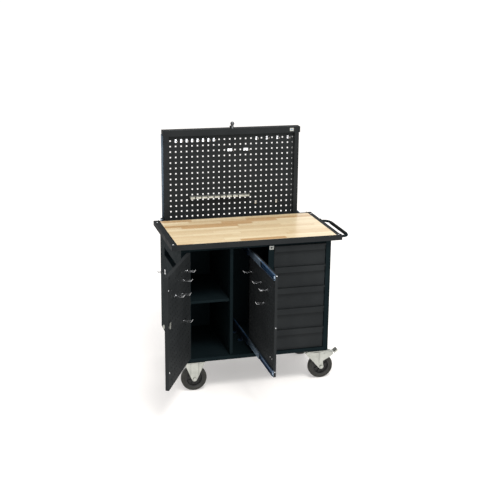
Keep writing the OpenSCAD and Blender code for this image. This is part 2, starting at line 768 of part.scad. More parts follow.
module swivel_fork(y) color(zinc) place() {
    crown = plate_z - 12.5;
    top = crown - wheel_r;
    outline = [[-17, -8], [-74, top - 50], [-trail - 70, top - 14], [-trail - 70, top],
        [pedal_x - trail + 14, top], [82, top - 12], [84, top - 24], [50, top - 48],
        [12, top - 68], [15, -9]];
    difference() {
        block(swivel_x - 56, swivel_x + pedal_x + 12, y - leg_in - leg_t, y + leg_in + leg_t,
            crown - 7, crown);
        rod_z(swivel_x, y, crown - 8, crown + 1, axle_r + fit);
        block(swivel_x + 36, swivel_x + pedal_x + 13, y - leg_in, y + leg_in, crown - 8, crown + 1);
    }
    leg_plate(outline, swivel_x + trail, y - leg_in);
    leg_plate(outline, swivel_x + trail, y + leg_in + leg_t);
    for (end = [y - leg_in - leg_t - rib_t, y + leg_in + leg_t])
        block(swivel_x + trail - 16, swivel_x + trail - 12, end, end + rib_t,
            wheel_r + 24, crown);
    axle(swivel_x + trail, y);
    for (end = [y - leg_in - leg_t - 3, y + leg_in])
        rod_y(swivel_x + pedal_x, pedal_z, end, end + leg_t + 3, 4);
    rod_y(swivel_x + pedal_x, pedal_z, y - leg_in, y + leg_in, 3.5);
}

// Brake pedal hung on the fork's cross pin, with a tread plate at its end
module brake_pedal(y) color(zinc) place() difference() {
    union() {
        rod_y(swivel_x + pedal_x, pedal_z, y - leg_in + 1, y + leg_in - 1, 7);
        translate([swivel_x + pedal_x, y, pedal_z]) {
            block(0, 80, -19, 19, 2.5, 5.5);
            translate([76, 0, 3]) rotate([0, -38, 0]) block(-6, 26, -23, 23, -6, 4);
        }
    }
    rod_y(swivel_x + pedal_x, pedal_z, y - leg_in - 1, y + leg_in + 1, 3.5 + fit);
}

// Wheel centre: hub, web and rim turned in one profile
module wheel(x, y) color([0.25, 0.26, 0.27]) place()
    translate([x, y, wheel_r]) rotate([-90, 0, 0]) rotate_extrude($fn = 96) polygon([
        [axle_r + fit, -leg_in + 0.5], [16, -leg_in + 0.5], [18, -7], [50, -5], [53, -18],
        [rim_r, -19], [rim_r, 19], [53, 18], [50, 5], [18, 7], [16, leg_in - 0.5],
        [axle_r + fit, leg_in - 0.5]]);

module tyre(x, y) color(rubber) place()
    translate([x, y, wheel_r]) rotate([-90, 0, 0]) rotate_extrude($fn = 96) polygon([
        [rim_r, -19], [rim_r + 6, -tyre_w / 2], [wheel_r - 8, -tyre_w / 2],
        [wheel_r - 3, -tyre_w / 2 + 4], [wheel_r, -tyre_w / 4], [wheel_r, tyre_w / 4],
        [wheel_r - 3, tyre_w / 2 - 4], [wheel_r - 8, tyre_w / 2], [rim_r + 6, tyre_w / 2],
        [rim_r, 19]]);

// Bolts that hold the four caster plates to the bearers
module caster_bolts() color(zinc) place()
    for (x = [fixed_x, swivel_x], y = caster_ys, dx = [-1, 1], dy = [-1, 1])
        translate([x + dx * bolt_w / 2, y + dy * bolt_d / 2, 0]) {
            translate([0, 0, plate_z - 6.5]) cylinder(r = 9.2, h = 6.5, $fn = 6);
            rod_z(0, 0, plate_z - 6.5, caster_h + 14, bolt_r);
            translate([0, 0, caster_h + 3]) cylinder(r = 9.2, h = 8, $fn = 6);
        }

side_left();
side_right();
base_pan();
rear_cover();
pocket_wall();
grip_tray();
drawer_wall();
divider();
shelf();
top_plate();
worktop_frame();
worktop_board();
frame_screws();
handle_tube();
handle_grip();
hinge_leaves();
pullout_rails();
drawer_rails();
panel_rails();
fixed_forks();
swivel_plates();
caster_bolts();
door_skin();
door_liner();
door_hooks();
door_lock();
side_hook();
pullout_panel();
pullout_runners();
pullout_middle();
pullout_hooks();
drawer_front(0);  // drawer_front_1
drawer_front(1);  // drawer_front_2
drawer_front(2);  // drawer_front_3
drawer_front(3);  // drawer_front_4
drawer_front(4);  // drawer_front_5
drawer_box(0);  // drawer_box_1
drawer_box(1);  // drawer_box_2
drawer_box(2);  // drawer_box_3
drawer_box(3);  // drawer_box_4
drawer_box(4);  // drawer_box_5
panel_tray();
panel_sheet();
panel_runners();
panel_middle();
panel_lock();
tool_hooks();
driver_rack();
wheel(fixed_x, caster_ys[0]);  // wheel_front_left
wheel(fixed_x, caster_ys[1]);  // wheel_rear_left
wheel(swivel_x + trail, caster_ys[0]);  // wheel_front_right
wheel(swivel_x + trail, caster_ys[1]);  // wheel_rear_right
tyre(fixed_x, caster_ys[0]);  // tyre_front_left
tyre(fixed_x, caster_ys[1]);  // tyre_rear_left
tyre(swivel_x + trail, caster_ys[0]);  // tyre_front_right
tyre(swivel_x + trail, caster_ys[1]);  // tyre_rear_right
swivel_fork(caster_ys[0]);  // swivel_fork_front
swivel_fork(caster_ys[1]);  // swivel_fork_rear
brake_pedal(caster_ys[0]);  // brake_pedal_front
brake_pedal(caster_ys[1]);  // brake_pedal_rear
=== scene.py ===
"""Looks of the mobile workbench: finishes, small fittings, floor, light and camera."""

import json
import math

import bmesh
import bpy
from mathutils import Matrix, Vector


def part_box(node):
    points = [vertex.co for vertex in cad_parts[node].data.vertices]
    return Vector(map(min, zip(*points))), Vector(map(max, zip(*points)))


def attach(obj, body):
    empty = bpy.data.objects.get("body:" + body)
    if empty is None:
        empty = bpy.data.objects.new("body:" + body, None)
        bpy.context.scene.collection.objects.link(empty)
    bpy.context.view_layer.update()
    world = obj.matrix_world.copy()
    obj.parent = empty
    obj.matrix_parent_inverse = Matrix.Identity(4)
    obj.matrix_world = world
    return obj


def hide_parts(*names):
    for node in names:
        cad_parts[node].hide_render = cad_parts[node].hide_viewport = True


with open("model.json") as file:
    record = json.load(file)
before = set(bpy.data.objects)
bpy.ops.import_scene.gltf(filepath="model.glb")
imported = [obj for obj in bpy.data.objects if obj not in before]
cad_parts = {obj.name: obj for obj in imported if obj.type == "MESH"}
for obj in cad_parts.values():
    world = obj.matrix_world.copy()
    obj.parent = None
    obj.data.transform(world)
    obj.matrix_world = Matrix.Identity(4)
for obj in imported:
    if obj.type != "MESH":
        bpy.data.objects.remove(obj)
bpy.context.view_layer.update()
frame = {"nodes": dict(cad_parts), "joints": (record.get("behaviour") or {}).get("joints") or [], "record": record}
NODES = frame["nodes"]
JOINTS = {joint["name"]: joint for joint in frame["joints"]}
DRAWERS = range(1, 6)
MM = 0.001

LEFT, RIGHT = Vector((-1, 0, 0)), Vector((1, 0, 0))
FRONT, BACK = Vector((0, -1, 0)), Vector((0, 1, 0))
UP = Vector((0, 0, 1))


# ---- Finishes ----

# The Mix node's colour sockets go by number: its sockets of other types have the same names.
MIX_FACTOR, MIX_FIRST, MIX_SECOND, MIX_RESULT = 0, 6, 7, 2


class Finish:
    """One procedural material, built from nested node calls in object space, in metres."""

    def __init__(self, name, metallic=0.0, specular=0.5, coat=0.0, coat_roughness=0.1):
        self.material = bpy.data.materials.new(name)
        self.material.use_nodes = True
        self.tree = self.material.node_tree
        self.shader = self.tree.nodes["Principled BSDF"]
        fixed = {
            "Metallic": metallic,
            "Specular IOR Level": specular,
            "Coat Weight": coat,
            "Coat Roughness": coat_roughness,
        }
        for socket, value in fixed.items():
            self.shader.inputs[socket].default_value = value
        self.place = self.tree.nodes.new("ShaderNodeTexCoord").outputs["Object"]

    def node(self, kind, inputs, output=0, **settings):
        """Adds a node, feeds its inputs, and gives its output by name or number."""
        made = self.tree.nodes.new("ShaderNode" + kind)
        for key, value in settings.items():
            setattr(made, key, value)
        for key, value in inputs.items():
            self.feed(made.inputs[key], value)
        return made.outputs[output]

    def feed(self, socket, value):
        """Links a node socket, or sets a plain value."""
        if isinstance(value, bpy.types.NodeSocket):
            self.tree.links.new(value, socket)
        else:
            socket.default_value = value

    def calculate(self, operation, first, second=0.0):
        return self.node("Math", {0: first, 1: second}, operation=operation)

    def stretched(self, factors, vector=None):
        """vector, or the place on the object, times factors axis by axis."""
        place = self.place if vector is None else vector
        return self.node("VectorMath", {0: place, 1: factors}, operation="MULTIPLY")

    def noise(self, scale, detail=2.0, vector=None, distortion=0.0):
        place = self.place if vector is None else vector
        inputs = {"Vector": place, "Scale": scale, "Detail": detail, "Distortion": distortion}
        return self.node("TexNoise", inputs)

    def between(self, value, low, high, start=0.0, end=1.0):
        """start at low, end at high, and held beyond them."""
        inputs = {"Value": value, "From Min": low, "From Max": high, "To Min": start, "To Max": end}
        return self.node("MapRange", inputs)

    def blend(self, factor, first, second):
        """first where factor is 0 and second where it is 1."""
        inputs = {MIX_FACTOR: factor, MIX_FIRST: colour(first), MIX_SECOND: colour(second)}
        return self.node("Mix", inputs, output=MIX_RESULT, data_type="RGBA")

    def edges(self, radius):
        """1 on sharp edges and 0 on flat faces."""
        rounded = self.node("Bevel", {"Radius": radius}, samples=4)
        flat = self.node("NewGeometry", {}, output="Normal")
        pair = {0: rounded, 1: flat}
        same = self.node("VectorMath", pair, output="Value", operation="DOT_PRODUCT")
        nearly_flat, well_turned = 0.995, 0.9
        return self.between(same, nearly_flat, well_turned)

    def corners(self, distance):
        """1 in the open, falling to 0 in folds and corners within distance: the mask for painted shade."""
        open_sky = self.node("AmbientOcclusion", {"Distance": distance}, output="AO", samples=8)
        fully_shaded, fully_open = 0.3, 0.85
        return self.between(open_sky, fully_shaded, fully_open)

    def finish(self, base, roughness, bumps):
        """Sets the colour and roughness, and stacks (height, distance, strength) bumps."""
        self.feed(self.shader.inputs["Base Color"], base)
        self.feed(self.shader.inputs["Roughness"], roughness)
        normal = None
        for height, distance, strength in bumps:
            inputs = {"Height": height, "Distance": distance, "Strength": strength}
            if normal is not None:
                inputs["Normal"] = normal
            normal = self.node("Bump", inputs)
        self.feed(self.shader.inputs["Normal"], normal)
        return self.material


def colour(value):
    """An RGB triple as RGBA; a node socket as it is."""
    if isinstance(value, bpy.types.NodeSocket):
        return value
    return (*value, 1.0)


def powder_coat(name, dark, light, paler, specular):
    """Powder-coated sheet: fine orange peel, soft drifts of tone, paler specks, and sharp edges lightened in
    patches, partly worn paint and partly painted highlight.
    """
    f = Finish(name, specular=specular)
    drift = f.between(f.noise(scale=5.0, detail=3.0), 0.35, 0.65)
    grain = f.noise(scale=900.0)
    peel = f.noise(scale=260.0, detail=1.0)
    specks = f.between(grain, 0.58, 0.72, end=0.5)
    scuffs = f.between(f.noise(scale=60.0, detail=4.0), 0.45, 0.6, start=0.35, end=0.9)
    # Sharp edges are lightened in patches: partly worn paint, partly a painted highlight where the edges catch
    # light.
    edge_wear_and_highlight = f.calculate("MULTIPLY", f.edges(0.9 * MM), scuffs)
    tone = f.blend(drift, dark, light)
    tone = f.blend(specks, tone, paler)
    tone = f.blend(edge_wear_and_highlight, tone, paler)
    rough = f.between(f.noise(scale=22.0, detail=4.0), 0.3, 0.7, start=0.54, end=0.66)
    return f.finish(tone, rough, [(peel, 0.12 * MM, 0.5), (grain, 0.05 * MM, 0.5)])


# The tones of the staves, each the two ends of a range, and of what runs through them.
PALE_STAVE = ((0.78, 0.66, 0.44), (0.62, 0.47, 0.27))
TAN_STAVE = ((0.55, 0.35, 0.17), (0.45, 0.27, 0.12))
HEARTWOOD = ((0.68, 0.49, 0.28), (0.56, 0.37, 0.19))
PORE, FLECK, GLUE_LINE = (0.38, 0.22, 0.10), (0.88, 0.72, 0.48), (0.30, 0.17, 0.08)


def stave_board(name):
    """Glued hardwood staves along x, each with its own tone, grain and end joints."""
    f = Finish(name, specular=0.4, coat=0.2, coat_roughness=0.2)
    width, shortest, longest = 45 * MM, 0.30, 0.46
    split = f.node("SeparateXYZ", {0: f.place}).node
    row_place = f.calculate("DIVIDE", split.outputs["Y"], width)
    row = f.calculate("FLOOR", row_place)
    row_seed = f.node("TexWhiteNoise", {"W": row}, noise_dimensions="1D")
    length = f.between(row_seed, 0.0, 1.0, shortest, longest)
    stagger = f.calculate("MULTIPLY", row_seed, 7.3)
    lengths = f.calculate("DIVIDE", split.outputs["X"], length)
    cell_place = f.calculate("ADD", lengths, stagger)
    cell = f.calculate("FLOOR", cell_place)

    stave_id = f.node("CombineXYZ", {"X": cell, "Y": row})
    tone = f.node("TexWhiteNoise", {"Vector": stave_id}, noise_dimensions="2D")
    kind = f.node("TexWhiteNoise", {"Vector": stave_id, "W": 3.0}, noise_dimensions="4D")
    own_grain = f.stretched((3.1, 5.7, 1.9), stave_id)
    moved = f.node("VectorMath", {0: f.place, 1: own_grain}, operation="ADD")
    along, fine = f.stretched((1.6, 26.0, 26.0), moved), f.stretched((14.0, 420.0, 420.0), moved)
    rings = f.noise(scale=1.0, detail=4.0, vector=along, distortion=0.6)
    pores = f.noise(scale=1.0, detail=3.0, vector=fine)
    flecks = f.noise(scale=1.0, vector=f.stretched((90.0, 700.0, 700.0)))

    pale, tan = f.blend(tone, *PALE_STAVE), f.blend(tone, *TAN_STAVE)
    heart = f.blend(tone, *HEARTWOOD)
    stave = f.blend(f.between(kind, 0.70, 0.76), pale, tan)
    stave = f.blend(f.between(rings, 0.46, 0.72, end=0.55), stave, heart)
    stave = f.blend(f.between(pores, 0.5, 0.75, end=0.3), stave, PORE)
    stave = f.blend(f.between(flecks, 0.62, 0.72, end=0.22), stave, FLECK)

    row_edge = f.calculate("PINGPONG", row_place, 0.5)
    widths_per_length = 8.0
    end_edge = f.calculate("PINGPONG", cell_place, 0.5)
    end_edge = f.calculate("MULTIPLY", end_edge, widths_per_length)
    edge = f.calculate("MINIMUM", row_edge, end_edge)
    joint = f.between(edge, 0.006, 0.016, start=0.5, end=0.0)
    stave = f.blend(joint, stave, GLUE_LINE)
    rough = f.between(pores, 0.3, 0.8, start=0.26, end=0.40)
    waves = f.noise(scale=9.0)
    dents = f.between(joint, 0.0, 0.5, start=1.0, end=0.0)
    bumps = [(waves, 0.3 * MM, 0.25), (pores, 0.04 * MM, 0.5), (dents, 0.05 * MM, 0.6)]
    return f.finish(stave, rough, bumps)


def plated(name, dark, light, rough, metallic=0.9, painted_edge_highlight=None, reach=28 * MM):
    """Metal plate: faint crystals, rolling streaks, painted shade in folds within reach, painted highlights on
    sharp edges when an edge colour is given, uneven gloss.
    """
    f = Finish(name, metallic=metallic)
    crystal = f.node("TexVoronoi", {"Vector": f.place, "Scale": 160.0}, feature="F1")
    clouds = f.noise(scale=18.0, detail=4.0)
    streaks = f.noise(scale=30.0, detail=3.0)
    pits = f.noise(scale=420.0)
    tone = f.blend(f.between(clouds, 0.3, 0.7), dark, light)
    tone = f.blend(f.between(crystal, 0.1, 0.8, end=0.25), tone, dark)
    # Painted highlight: sharp edges are lightened towards the given edge colour, as if they caught the light.
    if painted_edge_highlight is not None:
        tone = f.blend(f.edges(2.6 * MM), tone, painted_edge_highlight)
    # Painted shade: folds and corners within reach are darkened towards a fifth of the dark tone.
    painted_fold_shade = tuple(0.2 * value for value in dark)
    tone = f.blend(f.corners(reach), painted_fold_shade, tone)
    gloss = f.between(streaks, 0.3, 0.7, start=rough - 0.06, end=rough + 0.08)
    return f.finish(tone, gloss, [(streaks, 0.03 * MM, 0.4), (pits, 0.02 * MM, 0.3)])


def moulded(name, dark, light, rough, grain=700.0, specular=0.3):
    """Rubber or plastic: mould grain, rubbed patches and a little dust."""
    f = Finish(name, specular=specular)
    patches = f.between(f.noise(scale=24.0, detail=4.0), 0.35, 0.7)
    dust = f.between(f.noise(scale=grain, detail=3.0), 0.6, 0.74, end=0.5)
    tone = f.blend(patches, dark, light)
    tone = f.blend(dust, tone, light)
    smears = f.noise(scale=70.0, detail=3.0)
    gloss = f.between(smears, 0.3, 0.7, start=rough - 0.07, end=rough + 0.07)
    return f.finish(tone, gloss, [(f.noise(scale=grain), 0.06 * MM, 0.6)])


FINISHES = {
    "cabinet_paint": powder_coat(
        "cabinet_paint",
        dark=(0.0046, 0.0088, 0.0104),
        light=(0.0068, 0.0118, 0.0138),
        paler=(0.016, 0.023, 0.026),
        specular=0.012,
    ),
    "front_paint": powder_coat(
        "front_paint",
        dark=(0.0155, 0.0172, 0.0182),
        light=(0.0200, 0.0220, 0.0230),
        paler=(0.034, 0.037, 0.038),
        specular=0.035,
    ),
    "board": stave_board("board"),
    "zinc": plated(
        "zinc",
        dark=(0.36, 0.37, 0.34),
        light=(0.53, 0.54, 0.50),
        rough=0.42,
    ),
    "slide_steel": plated(
        "slide_steel",
        dark=(0.14, 0.20, 0.27),
        light=(0.25, 0.33, 0.42),
        rough=0.38,
        metallic=0.6,
        # painted highlight on the slide's sharp edges
        painted_edge_highlight=(0.44, 0.50, 0.57),
        # painted shade reaches 200 mm into folds and corners
        reach=200 * MM,
    ),
    "slide_blue": plated(
        "slide_blue",
        dark=(0.025, 0.070, 0.16),
        light=(0.055, 0.14, 0.28),
        rough=0.34,
        metallic=0.6,
        # painted highlight on the slide's sharp edges
        painted_edge_highlight=(0.34, 0.42, 0.52),
        # painted shade reaches 200 mm into folds and corners
        reach=200 * MM,
    ),
    "chrome": plated(
        "chrome",
        dark=(0.60, 0.61, 0.63),
        light=(0.76, 0.77, 0.79),
        rough=0.18,
        metallic=1.0,
    ),
    "dark_nickel": plated(
        "dark_nickel",
        dark=(0.07, 0.075, 0.08),
        light=(0.13, 0.135, 0.145),
        rough=0.24,
        metallic=1.0,
    ),
    "wheel_centre": moulded(
        "wheel_centre",
        dark=(0.012, 0.012, 0.012),
        light=(0.022, 0.022, 0.021),
        rough=0.5,
    ),
    "tyre": moulded(
        "tyre",
        dark=(0.017, 0.017, 0.0145),
        light=(0.028, 0.028, 0.024),
        rough=0.62,
        grain=380.0,
    ),
    "grip_rubber": moulded(
        "grip_rubber",
        dark=(0.0030, 0.0040, 0.0042),
        light=(0.0070, 0.0085, 0.0090),
        rough=0.7,
        specular=0.15,
    ),
    "badge_enamel": moulded(
        "badge_enamel",
        dark=(0.36, 0.37, 0.34),
        light=(0.44, 0.45, 0.42),
        rough=0.4,
        grain=500.0,
    ),
}

# Edge radii, in millimetres, of the nodes that are thick enough to have softened edges.
SOFT_EDGES = {
    "worktop_board": 0.8,
    "worktop_frame": 0.5,
    "side_left": 0.4,
    "side_right": 0.4,
    "door_skin": 0.4,
    "panel_tray": 0.4,
    "pullout_panel": 0.3,
    **{f"drawer_front_{i}": 0.5 for i in DRAWERS},
}


def finish_cad_nodes():
    """Gives each CAD node its slot's finish, and softens the edges in SOFT_EDGES."""
    slots = {part["node"]: part["material_slot"] for part in frame["record"]["subparts"]}
    for name, node in NODES.items():
        for slot in node.material_slots:
            slot.material = FINISHES[slots[name]]
        if name in SOFT_EDGES:
            weld = node.modifiers.new("weld", "WELD")
            weld.merge_threshold = 0.01 * MM
            bevel = node.modifiers.new("bevel", "BEVEL")
            bevel.width = SOFT_EDGES[name] * MM
            bevel.segments = 2
            bevel.limit_method = "ANGLE"
            bevel.angle_limit = math.radians(40)


# ---- Shapes of the fittings ----


def placed(point, direction, turn=0.0):
    """Moves a shape made at the origin to point, with its +z along direction."""
    aimed = Vector(direction).to_track_quat("Z", "Y").to_matrix().to_4x4()
    return Matrix.Translation(point) @ aimed @ Matrix.Rotation(turn, 4, "Z")


def add(shape, other, matrix):
    """Puts other into shape, moved by matrix."""
    other.transform(matrix)
    mesh = bpy.data.meshes.new("part")
    other.to_mesh(mesh)
    other.free()
    shape.from_mesh(mesh)
    bpy.data.meshes.remove(mesh)


def rounded_box(size, radius, segments=2):
    """A box about the origin with rounded edges."""
    shape = bmesh.new()
    bmesh.ops.create_cube(shape, size=1.0, matrix=Matrix.Diagonal((*size, 1.0)))
    bmesh.ops.bevel(
        shape,
        geom=list(shape.edges),
        offset=radius,
        segments=segments,
        profile=0.5,
        affect="EDGES",
    )
    return shape


def add_box(shape, size, radius, centre, segments=2):
    """Puts a rounded box about centre into shape."""
    add(shape, rounded_box(size, radius, segments), Matrix.Translation(centre))


def skin(shape, rings):
    """Joins each ring of points to the next with faces; a ring may be a single point."""
    for low, high in zip(rings, rings[1:]):
        for i in range(max(len(low), len(high))):
            corners = [low[i % len(low)], low[(i + 1) % len(low)]]
            corners += [high[(i + 1) % len(high)], high[i % len(high)]]
            shape.faces.new(list(dict.fromkeys(corners)))


def turned(profile, segments=24):
    """A form turned about z from (radius, height) pairs, closed where the radius is 0."""
    shape = bmesh.new()
    angles = [2 * math.pi * i / segments for i in range(segments)]
    rings = []
    for radius, height in profile:
        ring = [(radius * math.cos(a), radius * math.sin(a), height) for a in angles]
        if radius == 0:
            ring = [(0, 0, height)]
        rings.append([shape.verts.new(point) for point in ring])
    skin(shape, rings)
    bmesh.ops.recalc_face_normals(shape, faces=shape.faces)
    return shape


def in_mm(profile):
    """A profile given in millimetres, as turned() takes it."""
    return [(radius * MM, height * MM) for radius, height in profile]


def rivet(radius):
    """A low domed rivet head with a rim."""
    profile = [(0, 0.0), (radius, 0.0), (radius, 0.12 * radius), (0.86 * radius, 0.34 * radius)]
    profile += [(0.5 * radius, 0.52 * radius), (0, 0.58 * radius)]
    return turned(profile, 20)


def cross_screw(radius):
    """A domed screw head with a cross recess, seated at z = 0."""
    shape = bmesh.new()
    spokes, steps, dome = 32, 9, 0.8
    height, slot, reach, depth = 0.42 * radius, 0.16 * radius, 0.62 * radius, 0.3 * radius
    rings = [[shape.verts.new((0, 0, height - depth))]]
    for step in range(1, steps + 1):
        ring = []
        for i in range(spokes):
            angle = 2 * math.pi * i / spokes
            r = radius * step / steps
            x, y = r * math.cos(angle), r * math.sin(angle)
            z = height * math.sqrt(1.0 - dome * (r / radius) ** 2)
            if r < reach and min(abs(x), abs(y)) < slot:
                z -= depth * (1 - 0.5 * r / reach)
            ring.append(shape.verts.new((x, y, z)))
        rings.append(ring)
    rings.append([shape.verts.new((v.co.x, v.co.y, 0)) for v in rings[-1]])
    skin(shape, rings)
    shape.faces.new(reversed(rings[-1]))
    bmesh.ops.recalc_face_normals(shape, faces=shape.faces)
    return shape


def flush_screw(radius):
    """A countersunk screw: a flat rim round a sunken cross, almost flush with its sheet."""
    shape = cross_screw(radius)
    bmesh.ops.scale(shape, vec=(1, 1, 0.5), verts=shape.verts)
    return shape


def piece(name, body, slot, shape, smooth=35):
    """Makes a mesh piece from shape, with the slot's finish, riding on body."""
    mesh = bpy.data.meshes.new(name)
    shape.to_mesh(mesh)
    shape.free()
    mesh.polygons.foreach_set("use_smooth", [True] * len(mesh.polygons))
    mesh.set_sharp_from_angle(angle=math.radians(smooth))
    mesh.materials.append(FINISHES[slot])
    made = bpy.data.objects.new(name, mesh)
    bpy.context.scene.collection.objects.link(made)
    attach(made, body)
    return made


def row_of(name, body, slot, make, places):
    """One piece that holds several copies of a shape, each at (point, direction)."""
    whole = bmesh.new()
    for point, direction in places:
        add(whole, make(), placed(point, direction))
    return piece(name, body, slot, whole)


def spread(low, high, count):
    """count values from near low to near high."""
    margin = 30 * MM
    return [low + margin + (high - low - 2 * margin) * i / (count - 1) for i in range(count)]


# ---- Fittings ----


def badge(name, body, centre, size, mark_slot):
    """A name plate without a name: a raised rim, a plain square mark and two rivets."""
    width, height = size
    plate, relief, rim = 1.0 * MM, 0.8 * MM, 1.6 * MM
    whole = bmesh.new()
    add_box(whole, (width, plate, height), 0.4 * MM, centre)
    for side in (-1, 1):
        upright = centre + Vector((side * (width - rim) / 2, -0.7 * MM, 0))
        add_box(whole, (rim, relief, height - rim), 0.3 * MM, upright)
        level = centre + Vector((0, -0.7 * MM, side * (height - rim) / 2))
        add_box(whole, (width, relief, rim), 0.3 * MM, level)
        point = centre + Vector((side * width * 0.38, -plate / 2, 0))
        add(whole, rivet(1.5 * MM), placed(point, FRONT))
    piece(name, body, "badge_enamel", whole)
    mark = bmesh.new()
    middle = centre + Vector((0, -0.6 * MM, 0))
    add_box(mark, (0.4 * width, relief, 0.4 * height), 0.3 * MM, middle)
    piece(name + "_mark", body, mark_slot, mark)


def worktop_fittings():
    low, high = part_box("frame_screws")
    head = 6.5 * MM
    xs, ys = (low.x + head, high.x - head), (low.y + head, high.y - head)
    places = [(Vector((x, y, low.z)), UP) for x in xs for y in ys]
    heads = row_of("frame_cross_screws", "cabinet", "chrome", lambda: cross_screw(head), places)
    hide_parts("frame_screws")

    tube_low, tube_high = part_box("handle_tube")
    flange, leg_inset, rivet_drop = 3 * MM, 17 * MM, 14.6 * MM
    x = tube_low.x + flange
    z = (tube_low.z + tube_high.z) / 2
    legs = (tube_low.y + leg_inset, tube_high.y - leg_inset)
    places = [(Vector((x, y, z + side * rivet_drop)), RIGHT) for y in legs for side in (-1, 1)]
    row_of("handle_flange_rivets", "cabinet", "zinc", lambda: rivet(2.2 * MM), places)

    low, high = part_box("handle_grip")
    lap = 1 * MM
    collar = in_mm([(9.2, 0), (11.3, 0.4), (11.3, 4.4), (10.4, 5.6), (9.2, 5.8), (9.2, 0)])
    centre = Vector(((low.x + high.x) / 2, 0, (low.z + high.z) / 2))
    ends = [(low.y - lap, BACK), (high.y + lap, FRONT)]
    places = [(centre + Vector((0, y, 0)), way) for y, way in ends]
    row_of("grip_collars", "cabinet", "grip_rubber", lambda: turned(collar, 40), places)


def rear_cover_screws():
    low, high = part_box("rear_cover")
    inset, seat = 14 * MM, high.y - 0.9 * MM
    sides, ends = (low.x + inset, high.x - inset), (low.z + inset, high.z - inset)
    spots = [(x, z) for x in sides for z in spread(low.z, high.z, 5)]
    spots += [(x, z) for x in spread(low.x, high.x, 6)[1:-1] for z in ends]
    places = [(Vector((x, seat, z)), BACK) for x, z in spots]
    row_of("rear_cover_screws", "cabinet", "zinc", lambda: flush_screw(4.5 * MM), places)


def upright_badge():
    wall_low, wall_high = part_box("drawer_wall")
    inset, half_plate, drop = 17 * MM, 0.5 * MM, 28 * MM
    centre = Vector((wall_high.x - inset, wall_low.y - half_plate, wall_high.z - drop))
    badge("upright_badge", "cabinet", centre, (30 * MM, 24 * MM), "front_paint")


def shelf_clips():
    """Four bent tabs that the shelf lies on."""
    shelf_low, shelf_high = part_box("shelf")
    inset_x, inset_y = 5 * MM, 40 * MM
    tab, leg = (9 * MM, 18 * MM, 3 * MM), (1.6 * MM, 18 * MM, 12 * MM)
    clips = bmesh.new()
    for y in (shelf_low.y + inset_y, shelf_high.y - inset_y):
        for x, side in ((shelf_low.x + inset_x, 1), (shelf_high.x - inset_x, -1)):
            under = Vector((x, y, shelf_low.z - 2 * MM))
            add_box(clips, tab, 0.8 * MM, under)
            add_box(clips, leg, 0.5 * MM, under + Vector((-side * 3.6 * MM, 0, -6 * MM)))
    piece("shelf_clips", "cabinet", "zinc", clips)


def hinge_screws():
    """Two screws in each of the three leaves on the cabinet's front jamb."""
    leaf_low, leaf_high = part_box("hinge_leaves")
    hinge = Vector(JOINTS["door_hinge"]["pos_m"])
    leaf_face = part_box("side_left")[0].y - 3 * MM
    first, leaf_height = 30 * MM, 57 * MM
    pitch = (leaf_high.z - leaf_low.z - leaf_height) / 2
    heights = [leaf_low.z + first + i * pitch for i in range(3)]
    screws = ((18 * MM, 8 * MM), (36 * MM, 22 * MM))
    places = [
        (Vector((hinge.x - side, leaf_face, z - drop)), FRONT)
        for z in heights
        for side, drop in screws
    ]
    row_of("hinge_screws", "cabinet", "cabinet_paint", lambda: cross_screw(3.6 * MM), places)


def door_fittings():
    joint = JOINTS["door_hinge"]
    hinge = Vector(joint["pos_m"])
    angle = -math.radians(joint["range_deg"][0])
    along = Vector((math.cos(angle), -math.sin(angle), 0))
    inward = Vector((math.sin(angle), math.cos(angle), 0))
    low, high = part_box("door_skin")
    inner_face, free_edge = 8 * MM, 536 * MM

    def on_liner(reach, z):
        """A place on the door's inner side, at reach from the hinge."""
        return Vector((hinge.x, hinge.y, z)) + along * reach + inward * inner_face, inward

    heights = (high.z - 84 * MM, low.z + 111 * MM)
    places = [on_liner(free_edge - 16 * MM, z) for z in heights]
    row_of("door_rivets", "door", "chrome", lambda: rivet(5 * MM), places)

    bumper = in_mm([(0, 0), (6, 0), (6, 1.6), (5.2, 2.6), (2.2, 3), (1.6, 2.2), (0, 2.2)])
    heights = (low.z + 12 * MM, high.z - 12 * MM)
    places = [on_liner(free_edge - 34 * MM, z) for z in heights]
    row_of("door_bumpers", "door", "grip_rubber", lambda: turned(bumper), places)

    reaches, heights = (24 * MM, 270 * MM, 524 * MM), (low.z + 7 * MM, high.z - 7 * MM)
    places = [on_liner(reach, z) for reach in reaches for z in heights]
    row_of("door_liner_screws", "door", "front_paint", lambda: cross_screw(3 * MM), places)

    cap = in_mm([(0, 2.4), (3, 2.2), (5.4, 1.4), (6.6, 0), (0, 0)])
    knuckle_tops = [low.z + rise * MM for rise in (113.5, 383.5, 653.5)]
    places = [(Vector((hinge.x, hinge.y, z)), UP) for z in knuckle_tops]
    row_of("hinge_caps", "door", "front_paint", lambda: turned(cap), places)


def pullout_fittings():
    low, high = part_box("pullout_panel")
    x = (low.x + high.x) / 2 + 1 * MM
    heights = (high.z - 4 * MM, low.z + 325 * MM, low.z + 33 * MM)
    places = [(Vector((x, low.y, z)), FRONT) for z in heights]
    row_of("pullout_front_screws", "pullout", "chrome", lambda: cross_screw(3.6 * MM), places)

    run_low, run_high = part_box("pullout_runners")
    half_slide = 18 * MM
    levels = (run_low.z + half_slide, run_high.z - half_slide)
    centre = Vector(((run_low.x + run_high.x) / 2, run_low.y + 3 * MM, 0))
    stops = bmesh.new()
    for z in levels:
        add_box(stops, (7 * MM, 5 * MM, 16 * MM), 1.2 * MM, centre + Vector((0, 0, z)))
    piece("pullout_end_stops", "pullout", "slide_steel", stops)

    mid_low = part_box("pullout_middle")[0]
    reaches = (14 * MM, 52 * MM, 120 * MM)
    places = [(Vector((mid_low.x, mid_low.y + y, z)), LEFT) for z in levels for y in reaches]
    row_of("pullout_slide_rivets", "pullout_middle", "chrome", lambda: rivet(2.2 * MM), places)


